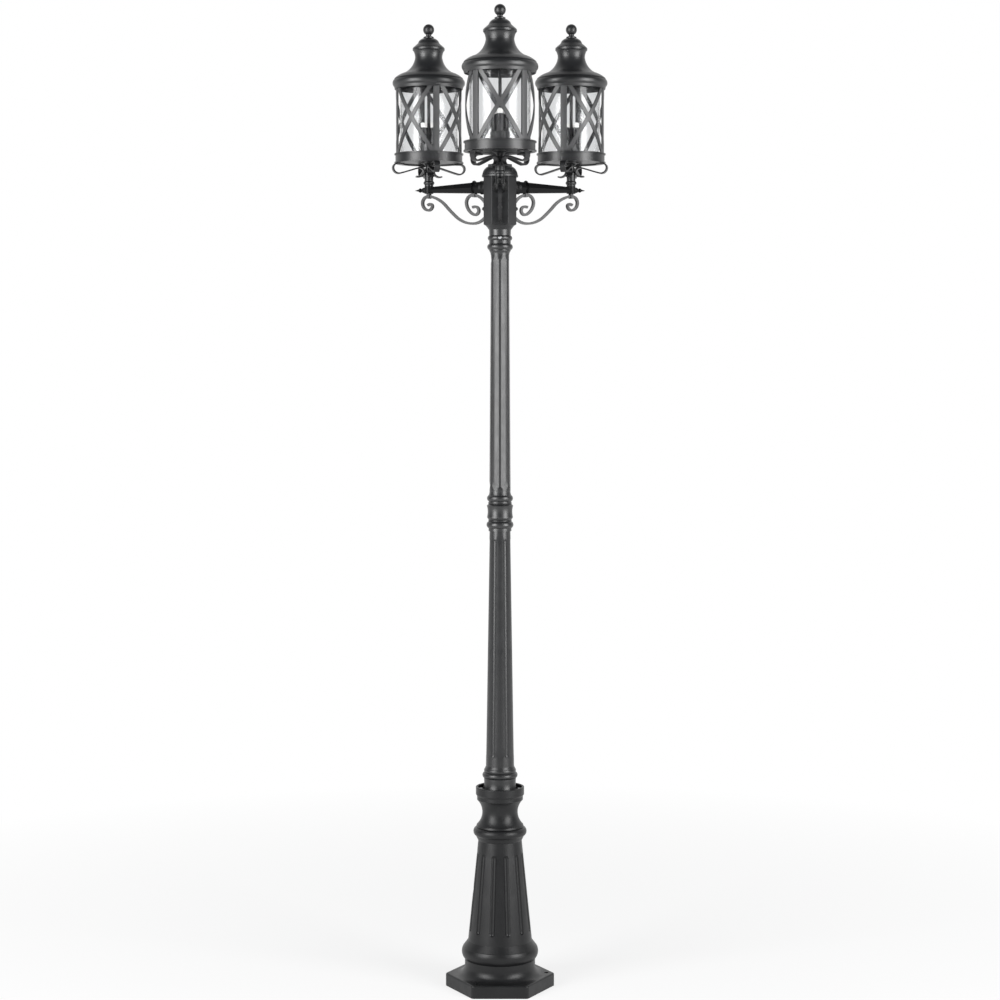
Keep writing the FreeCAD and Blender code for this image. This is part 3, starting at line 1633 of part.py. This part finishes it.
def make_roof():
    """Bell-shaped roof with a skirt round the cage, a ring on its neck and a stepped crown."""
    body = new_body("roof")
    wall = dim.roof_wall
    ring_top = dim.roof_ring_low + dim.roof_ring_height
    rim_half = (dim.roof_rim_top - dim.roof_rim_low) / 2
    edge_top = dim.roof_edge + dim.roof_edge_height
    seat = dim.glass_r + 2
    hole = dim.rod_r + dim.run_gap
    sketch = new_sketch(body, "outline")
    draw(sketch, [
        (dim.roof_skirt_r, -dim.roof_skirt),
        (dim.roof_skirt_r + dim.roof_skirt_wall, -dim.roof_skirt),
        (dim.roof_rim_r, dim.roof_rim_low),
        (dim.roof_rim_top_r, dim.roof_rim_top, arc_radius(rim_half, dim.roof_rim_bulge)),
        (dim.roof_edge_groove_r, dim.roof_edge - 0.9),
        (dim.roof_edge_r, dim.roof_edge),
        (dim.roof_edge_groove_r, edge_top),
        (dim.roof_shoulder_r, dim.roof_shoulder, dim.roof_shoulder_curve),
        (dim.roof_neck_r, dim.roof_neck, -dim.roof_bell_curve),
        (dim.roof_neck_flare_r, dim.roof_neck_flare, -dim.roof_neck_flare_curve),
        (dim.roof_ring_r, dim.roof_ring_low),
        (dim.roof_ring_r, ring_top),
        (dim.roof_ring_top_r, dim.roof_ring_top),
        (dim.roof_crown_r, dim.roof_crown),
        (dim.roof_button_r, dim.roof_button),
        (dim.roof_tip_r, dim.roof_tip_low, dim.roof_button_curve),
        (dim.roof_tip_r, dim.roof_height - 3),
        (dim.roof_tip_top_r, dim.roof_height),
        (hole, dim.roof_height),
        (hole, dim.roof_button - wall),
        (dim.roof_button_r - wall * 2, dim.roof_button - wall * 2),
        (dim.roof_crown_r - wall, dim.roof_crown - wall * 2),
        (dim.roof_ring_top_r - wall, dim.roof_neck_flare),
        (dim.roof_neck_r - wall, dim.roof_neck + wall),
        (dim.roof_shoulder_r - wall, dim.roof_shoulder - wall, dim.roof_bell_curve),
        (seat, dim.roof_seat_top),
        (seat, 0),
        (dim.roof_skirt_r, 0),
    ])
    turn_profile(body, sketch, "spun")
    place_round(body, "roof", reach=dim.arm_reach, lift=level["roof_seat"])


def make_ball():
    """Ball on a short neck, with a stud that turns in the roof's crown."""
    body = new_body("ball_finial")
    neck = dim.ball_neck
    radius = dim.ball_r
    rise = neck_rise(radius, dim.ball_neck_r)
    top = neck + rise + radius
    sketch = new_sketch(body, "outline")
    draw(sketch, [
        (0, -dim.ball_stud),
        (dim.rod_r, -dim.ball_stud),
        (dim.rod_r, 0),
        (dim.ball_neck_r, 0),
        (dim.ball_neck_r, neck),
        (radius, neck + rise, radius),
        (0, top, radius),
    ])
    turn_profile(body, sketch, "turned")
    place_round(body, "ball_finial", reach=dim.arm_reach, lift=level["roof_top"])


make_base()
make_cup_screws()
make_lower_pole()
make_mid_collar()
make_sleeve()
make_upper_pole()
make_head_collar()
make_set_screws()
make_hub()
make_dome()
make_hub_screws()
make_arm()
make_arm_tip()
make_scrolls()
make_clips()
make_stem()
make_feet()
make_gallery_ring()
make_pan()
make_cage()
make_tube("glass", dim.glass_r, dim.glass_wall, 0, dim.glass_height, level["pan_top"])
make_candle_cup()
make_candles()
make_rod()
make_roof()
make_ball()
document.recompute()

for thing in document.Objects:
    if any(word in thing.State for word in ("Invalid", "Error")):
        raise RuntimeError(f"{thing.Name} ({thing.Label}) did not build: {thing.State}")
for node in nodes:
    if node.Shape.isNull() or not node.Shape.isValid():
        raise RuntimeError(f"{node.Label} has no valid shape")

os.makedirs("parts", exist_ok=True)
for node in nodes:
    node.Shape.exportStep(f"parts/{node.Label}.step")
    print(node.Label, len(node.Shape.Solids), round(node.Shape.Volume))
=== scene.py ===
import math

import bpy
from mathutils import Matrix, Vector

# A black three-armed lamp post with round glass lanterns, on a plain pale floor.
# Metres, +Z up, the front arm towards -Y.

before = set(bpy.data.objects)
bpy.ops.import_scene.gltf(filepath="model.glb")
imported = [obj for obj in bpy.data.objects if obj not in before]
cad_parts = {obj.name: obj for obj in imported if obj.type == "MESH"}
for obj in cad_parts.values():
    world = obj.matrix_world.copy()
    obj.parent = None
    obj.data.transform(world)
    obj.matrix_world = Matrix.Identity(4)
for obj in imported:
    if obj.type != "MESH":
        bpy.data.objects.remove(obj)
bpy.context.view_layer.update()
scene = bpy.context.scene
bpy.ops.object.select_all(action="DESELECT")

SIDES = ("front", "right", "left")

BLACK_BASE = (0.007, 0.0072, 0.0078)
BLACK_CASTING = (0.009, 0.0094, 0.0102)
# The arm black is darker than the other blacks: painted shade, so the arms look shadowed.
BLACK_ARM_PAINTED_SHADE = (0.0055, 0.0057, 0.006)
BLACK_WROUGHT = (0.010, 0.010, 0.011)
BLACK_SHEET = (0.009, 0.0095, 0.0105)
# The cage black is lighter than the other blacks: painted light, so the straps look front-lit.
BLACK_CAGE_PAINTED_LIGHT = (0.022, 0.0225, 0.024)
BLACK_SLEEVE = (0.006, 0.006, 0.007)
SOCKET_WHITE = (0.66, 0.65, 0.63)
ZINC = (0.58, 0.59, 0.60)
GLASS_TINT = (0.85, 0.855, 0.86)
GLASS_SHINE = 0.02
GLASS_EDGE_SHINE = 0.6
GLASS_EDGE_POWER = 4
GLASS_GLOSS_ROUGHNESS = 0.14
GLASS_IOR = 1.01
FLOOR_WHITE = (0.93, 0.93, 0.93)
FLOOR_SPAN = 60
SHADOW_NEAR = 0.6
SHADOW_FAR = 2.6
SHADOW_LIFT = 0.78
ROOM_COLOR = (0.95, 0.97, 1)
ROOM_LIGHT = 0.13
BACKDROP_NEAR = 0.1
BACKDROP_FAR = 0.6
PAINT_GRAIN_DEPTH = 0.00012
MARK_DEPTH = 0.0001
BOX_WIDTH = 1.9
BOX_HEIGHT = 3.5
BOX_TARGET = (0, 0, 2.0)
CAMERA_PLACE = (0, -5.36, 1.56245)
CAMERA_PITCH = 3.65
CAMERA_LENS = 78.12
CAMERA_SENSOR = 36
CAMERA_REACH = 60


# ---- finishes ----

def new_material(name):
    material = bpy.data.materials.new(name)
    material.use_nodes = True
    nodes = material.node_tree.nodes
    nodes.clear()
    output = nodes.new("ShaderNodeOutputMaterial")
    output.location = (600, 0)
    return material, nodes, material.node_tree.links, output


def object_noise(nodes, links, scale, detail, stretch=(1, 1, 1)):
    """Noise that is fixed to the piece."""
    place = nodes.new("ShaderNodeTexCoord")
    mapping = nodes.new("ShaderNodeMapping")
    mapping.inputs["Scale"].default_value = stretch
    noise = nodes.new("ShaderNodeTexNoise")
    noise.inputs["Scale"].default_value = scale
    noise.inputs["Detail"].default_value = detail
    links.new(place.outputs["Object"], mapping.inputs["Vector"])
    links.new(mapping.outputs["Vector"], noise.inputs["Vector"])
    return noise


def black_paint(name, color, gloss, grain=0.35, grain_size=900, specular=0.5):
    """Black paint with a fine orange-peel grain and slightly uneven gloss."""
    material, nodes, links, output = new_material(name)
    shader = nodes.new("ShaderNodeBsdfPrincipled")
    shader.inputs["Specular IOR Level"].default_value = specular
    tone = object_noise(nodes, links, 14, 4)
    ramp = nodes.new("ShaderNodeValToRGB")
    ramp.color_ramp.elements[0].position = 0.3
    ramp.color_ramp.elements[0].color = (*[c * 0.82 for c in color], 1)
    ramp.color_ramp.elements[1].position = 0.72
    ramp.color_ramp.elements[1].color = (*[c * 1.16 for c in color], 1)
    links.new(tone.outputs["Fac"], ramp.inputs["Fac"])
    links.new(ramp.outputs["Color"], shader.inputs["Base Color"])
    patches = object_noise(nodes, links, 40, 5)
    spread = nodes.new("ShaderNodeMapRange")
    spread.inputs["From Min"].default_value = 0.35
    spread.inputs["From Max"].default_value = 0.65
    spread.inputs["To Min"].default_value = gloss - 0.035
    spread.inputs["To Max"].default_value = gloss + 0.04
    links.new(patches.outputs["Fac"], spread.inputs["Value"])
    links.new(spread.outputs["Result"], shader.inputs["Roughness"])
    peel = object_noise(nodes, links, grain_size, 2)
    bump = nodes.new("ShaderNodeBump")
    bump.inputs["Strength"].default_value = grain
    bump.inputs["Distance"].default_value = PAINT_GRAIN_DEPTH
    links.new(peel.outputs["Fac"], bump.inputs["Height"])
    links.new(bump.outputs["Normal"], shader.inputs["Normal"])
    links.new(shader.outputs["BSDF"], output.inputs["Surface"])
    return material


def zinc_steel(name, color, roughness):
    """Plated steel with fine turning marks."""
    material, nodes, links, output = new_material(name)
    shader = nodes.new("ShaderNodeBsdfPrincipled")
    shader.inputs["Base Color"].default_value = (*color, 1)
    shader.inputs["Metallic"].default_value = 1
    shader.inputs["Roughness"].default_value = roughness
    marks = object_noise(nodes, links, 700, 3, stretch=(1, 1, 6))
    bump = nodes.new("ShaderNodeBump")
    bump.inputs["Strength"].default_value = 0.3
    bump.inputs["Distance"].default_value = MARK_DEPTH
    links.new(marks.outputs["Fac"], bump.inputs["Height"])
    links.new(bump.outputs["Normal"], shader.inputs["Normal"])
    links.new(shader.outputs["BSDF"], output.inputs["Surface"])
    return material


def glazed_white(name, color):
    """White socket with a soft glaze."""
    material, nodes, links, output = new_material(name)
    shader = nodes.new("ShaderNodeBsdfPrincipled")
    shader.inputs["Roughness"].default_value = 0.28
    tone = object_noise(nodes, links, 30, 3)
    ramp = nodes.new("ShaderNodeValToRGB")
    ramp.color_ramp.elements[0].color = (*[c * 0.93 for c in color], 1)
    ramp.color_ramp.elements[1].color = (*color, 1)
    links.new(tone.outputs["Fac"], ramp.inputs["Fac"])
    links.new(ramp.outputs["Color"], shader.inputs["Base Color"])
    links.new(shader.outputs["BSDF"], output.inputs["Surface"])
    return material


def lantern_glass(name, tint):
    """Thin clear glass, faintly grey: it hardly bends what is behind it and has soft highlights."""
    material, nodes, links, output = new_material(name)
    shader = nodes.new("ShaderNodeBsdfPrincipled")
    shader.inputs["Base Color"].default_value = (*tint, 1)
    shader.inputs["Roughness"].default_value = 0
    shader.inputs["IOR"].default_value = GLASS_IOR
    shader.inputs["Transmission Weight"].default_value = 1
    gloss = nodes.new("ShaderNodeBsdfGlossy")
    gloss.inputs["Roughness"].default_value = GLASS_GLOSS_ROUGHNESS
    facing = nodes.new("ShaderNodeLayerWeight")
    steep = nodes.new("ShaderNodeMath")
    steep.operation = "POWER"
    steep.inputs[1].default_value = GLASS_EDGE_POWER
    share = nodes.new("ShaderNodeMapRange")
    share.inputs["To Min"].default_value = GLASS_SHINE
    share.inputs["To Max"].default_value = GLASS_EDGE_SHINE
    coated = nodes.new("ShaderNodeMixShader")
    clear = nodes.new("ShaderNodeBsdfTransparent")
    clear.inputs["Color"].default_value = (*tint, 1)
    path = nodes.new("ShaderNodeLightPath")
    mix = nodes.new("ShaderNodeMixShader")
    links.new(facing.outputs["Facing"], steep.inputs[0])
    links.new(steep.outputs["Value"], share.inputs["Value"])
    links.new(share.outputs["Result"], coated.inputs["Fac"])
    links.new(shader.outputs["BSDF"], coated.inputs[1])
    links.new(gloss.outputs["BSDF"], coated.inputs[2])
    links.new(path.outputs["Is Shadow Ray"], mix.inputs["Fac"])
    links.new(coated.outputs["Shader"], mix.inputs[1])
    links.new(clear.outputs["BSDF"], mix.inputs[2])
    links.new(mix.outputs["Shader"], output.inputs["Surface"])
    return material


base_black = black_paint(
    "base_black", BLACK_BASE, 0.4, grain=0.6, grain_size=450, specular=0.36,
)
casting_black = black_paint("casting_black", BLACK_CASTING, 0.38, grain=0.45, grain_size=600)
# The arms get the darker black with less shine: painted shade on the same black paint.
arm_black_painted_shade = black_paint(
    "arm_black_painted_shade", BLACK_ARM_PAINTED_SHADE, 0.42, grain=0.45, grain_size=600, specular=0.16,
)
pole_black = black_paint("pole_black", BLACK_CASTING, 0.36, specular=0.62)
collar_black = black_paint("collar_black", BLACK_CASTING, 0.36, grain=0.25, specular=0.75)
wrought_black = black_paint("wrought_black", BLACK_WROUGHT, 0.38, grain=0.5, grain_size=500)
# The cage straps get the lighter black: painted light on the same black paint.
cage_black_painted_light = black_paint("cage_black_painted_light", BLACK_CAGE_PAINTED_LIGHT, 0.52, grain=0.3, specular=1.0)
sheet_black = black_paint("sheet_black", BLACK_SHEET, 0.37, grain=0.25, specular=0.62)
sleeve_black = black_paint("sleeve_black", BLACK_SLEEVE, 0.26, grain=0.2)
rod_black = black_paint("rod_black", BLACK_SLEEVE, 0.34, grain=0.3)
zinc_plated = zinc_steel("zinc_plated", ZINC, 0.3)
socket_white = glazed_white("socket_white", SOCKET_WHITE)
clear_glass = lantern_glass("clear_glass", GLASS_TINT)

FINISHES = {
    "base_casting": base_black, "base_cup_screws": zinc_plated, "lower_pole": pole_black,
    "mid_collar": collar_black, "coupling_sleeve": zinc_plated, "upper_pole": pole_black,
    "head_collar": collar_black, "head_set_screws": zinc_plated, "hub": casting_black,
    "hub_dome": casting_black, "hub_screws": collar_black,
}
LANTERN_FINISHES = {
    "arm": arm_black_painted_shade, "arm_tip": arm_black_painted_shade, "scroll_bracket": wrought_black,
    "scroll_clips": wrought_black, "stem": casting_black, "scroll_feet": wrought_black,
    "base_pan": sheet_black, "gallery_ring": sheet_black, "cage": cage_black_painted_light,
    "glass": clear_glass, "candle_cup": sheet_black, "candle_sleeves": sleeve_black,
    "lamp_sockets": socket_white, "centre_rod": rod_black, "roof": sheet_black,
    "ball_finial": casting_black,
}
for side in SIDES:
    for piece, finish in LANTERN_FINISHES.items():
        FINISHES[f"{piece}_{side}"] = finish
for node, finish in FINISHES.items():
    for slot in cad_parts[node].material_slots:
        slot.material = finish


# ---- floor, light and camera ----

def seen_or_mirrored(nodes, links):
    """1 for what the camera sees, directly, in a gloss or through glass, and 0 for plain light."""
    path = nodes.new("ShaderNodeLightPath")
    first = nodes.new("ShaderNodeMath")
    first.operation = "MAXIMUM"
    links.new(path.outputs["Is Camera Ray"], first.inputs[0])
    links.new(path.outputs["Is Transmission Ray"], first.inputs[1])
    both = nodes.new("ShaderNodeMath")
    both.operation = "MAXIMUM"
    links.new(first.outputs["Value"], both.inputs[0])
    links.new(path.outputs["Is Glossy Ray"], both.inputs[1])
    return both.outputs["Value"]


def pale_stage():
    """A wide pale floor: it keeps the shadow near the post and runs out to plain white."""
    bpy.ops.object.select_all(action="DESELECT")
    bpy.ops.mesh.primitive_plane_add(size=FLOOR_SPAN, location=(0, 0, 0))
    floor = bpy.context.object
    floor.name = "floor"
    bpy.ops.object.transform_apply(location=True, rotation=True, scale=True)
    material, nodes, links, output = new_material("floor_white")
    shader = nodes.new("ShaderNodeBsdfDiffuse")
    shader.inputs["Color"].default_value = (*FLOOR_WHITE, 1)
    plain = nodes.new("ShaderNodeEmission")
    plain.inputs["Color"].default_value = (1, 1, 1, 1)
    plain.inputs["Strength"].default_value = 1.0
    place = nodes.new("ShaderNodeTexCoord")
    reach = nodes.new("ShaderNodeVectorMath")
    reach.operation = "LENGTH"
    fade = nodes.new("ShaderNodeMapRange")
    fade.inputs["From Min"].default_value = SHADOW_NEAR
    fade.inputs["From Max"].default_value = SHADOW_FAR
    fade.inputs["To Min"].default_value = SHADOW_LIFT
    fade.inputs["To Max"].default_value = 1
    lift = nodes.new("ShaderNodeMath")
    lift.operation = "MULTIPLY"
    mix = nodes.new("ShaderNodeMixShader")
    links.new(place.outputs["Object"], reach.inputs[0])
    links.new(reach.outputs["Value"], fade.inputs["Value"])
    links.new(seen_or_mirrored(nodes, links), lift.inputs[0])
    links.new(fade.outputs["Result"], lift.inputs[1])
    links.new(lift.outputs["Value"], mix.inputs["Fac"])
    links.new(shader.outputs["BSDF"], mix.inputs[1])
    links.new(plain.outputs["Emission"], mix.inputs[2])
    links.new(mix.outputs["Shader"], output.inputs["Surface"])
    floor.data.materials.append(material)


def soft_world():
    """A dim room in front of the post and a white backdrop behind it."""
    world = bpy.data.worlds.new("soft_room")
    scene.world = world
    world.use_nodes = True
    nodes = world.node_tree.nodes
    links = world.node_tree.links
    nodes.clear()
    output = nodes.new("ShaderNodeOutputWorld")
    room = nodes.new("ShaderNodeBackground")
    room.inputs["Color"].default_value = (*ROOM_COLOR, 1)
    room.inputs["Strength"].default_value = ROOM_LIGHT
    white = nodes.new("ShaderNodeBackground")
    white.inputs["Color"].default_value = (1, 1, 1, 1)
    white.inputs["Strength"].default_value = 1.0
    place = nodes.new("ShaderNodeTexCoord")
    apart = nodes.new("ShaderNodeSeparateXYZ")
    behind = nodes.new("ShaderNodeMapRange")
    behind.inputs["From Min"].default_value = BACKDROP_NEAR
    behind.inputs["From Max"].default_value = BACKDROP_FAR
    path = nodes.new("ShaderNodeLightPath")
    mirrored = nodes.new("ShaderNodeMath")
    mirrored.operation = "MULTIPLY"
    straight = nodes.new("ShaderNodeMath")
    straight.operation = "MAXIMUM"
    either = nodes.new("ShaderNodeMath")
    either.operation = "MAXIMUM"
    mix = nodes.new("ShaderNodeMixShader")
    links.new(place.outputs["Generated"], apart.inputs["Vector"])
    links.new(apart.outputs["Y"], behind.inputs["Value"])
    links.new(behind.outputs["Result"], mirrored.inputs[0])
    links.new(path.outputs["Is Glossy Ray"], mirrored.inputs[1])
    links.new(path.outputs["Is Camera Ray"], straight.inputs[0])
    links.new(path.outputs["Is Transmission Ray"], straight.inputs[1])
    links.new(straight.outputs["Value"], either.inputs[0])
    links.new(mirrored.outputs["Value"], either.inputs[1])
    links.new(either.outputs["Value"], mix.inputs["Fac"])
    links.new(room.outputs["Background"], mix.inputs[1])
    links.new(white.outputs["Background"], mix.inputs[2])
    links.new(mix.outputs["Shader"], output.inputs["Surface"])


def soft_box(name, place, power):
    """A tall soft light beside the camera."""
    light = bpy.data.lights.new(name, "AREA")
    light.shape = "RECTANGLE"
    light.size = BOX_WIDTH
    light.size_y = BOX_HEIGHT
    light.energy = power
    holder = bpy.data.objects.new(name, light)
    scene.collection.objects.link(holder)
    holder.location = place
    aim = Vector(BOX_TARGET) - Vector(place)
    holder.rotation_euler = aim.to_track_quat("-Z", "Y").to_euler()


def camera():
    """The camera at the photo's angle."""
    seen = bpy.data.cameras.new("camera")
    seen.lens = CAMERA_LENS
    seen.sensor_width = CAMERA_SENSOR
    seen.clip_end = CAMERA_REACH
    holder = bpy.data.objects.new("camera", seen)
    scene.collection.objects.link(holder)
    holder.location = CAMERA_PLACE
    holder.rotation_euler = (math.radians(90 - CAMERA_PITCH), 0, 0)
    scene.camera = holder


pale_stage()
soft_world()
soft_box("left_box", (-2.7, -2.3, 2.2), 175)
soft_box("right_box", (2.8, -2.2, 2.2), 170)
scene.view_settings.view_transform = "Standard"
camera()
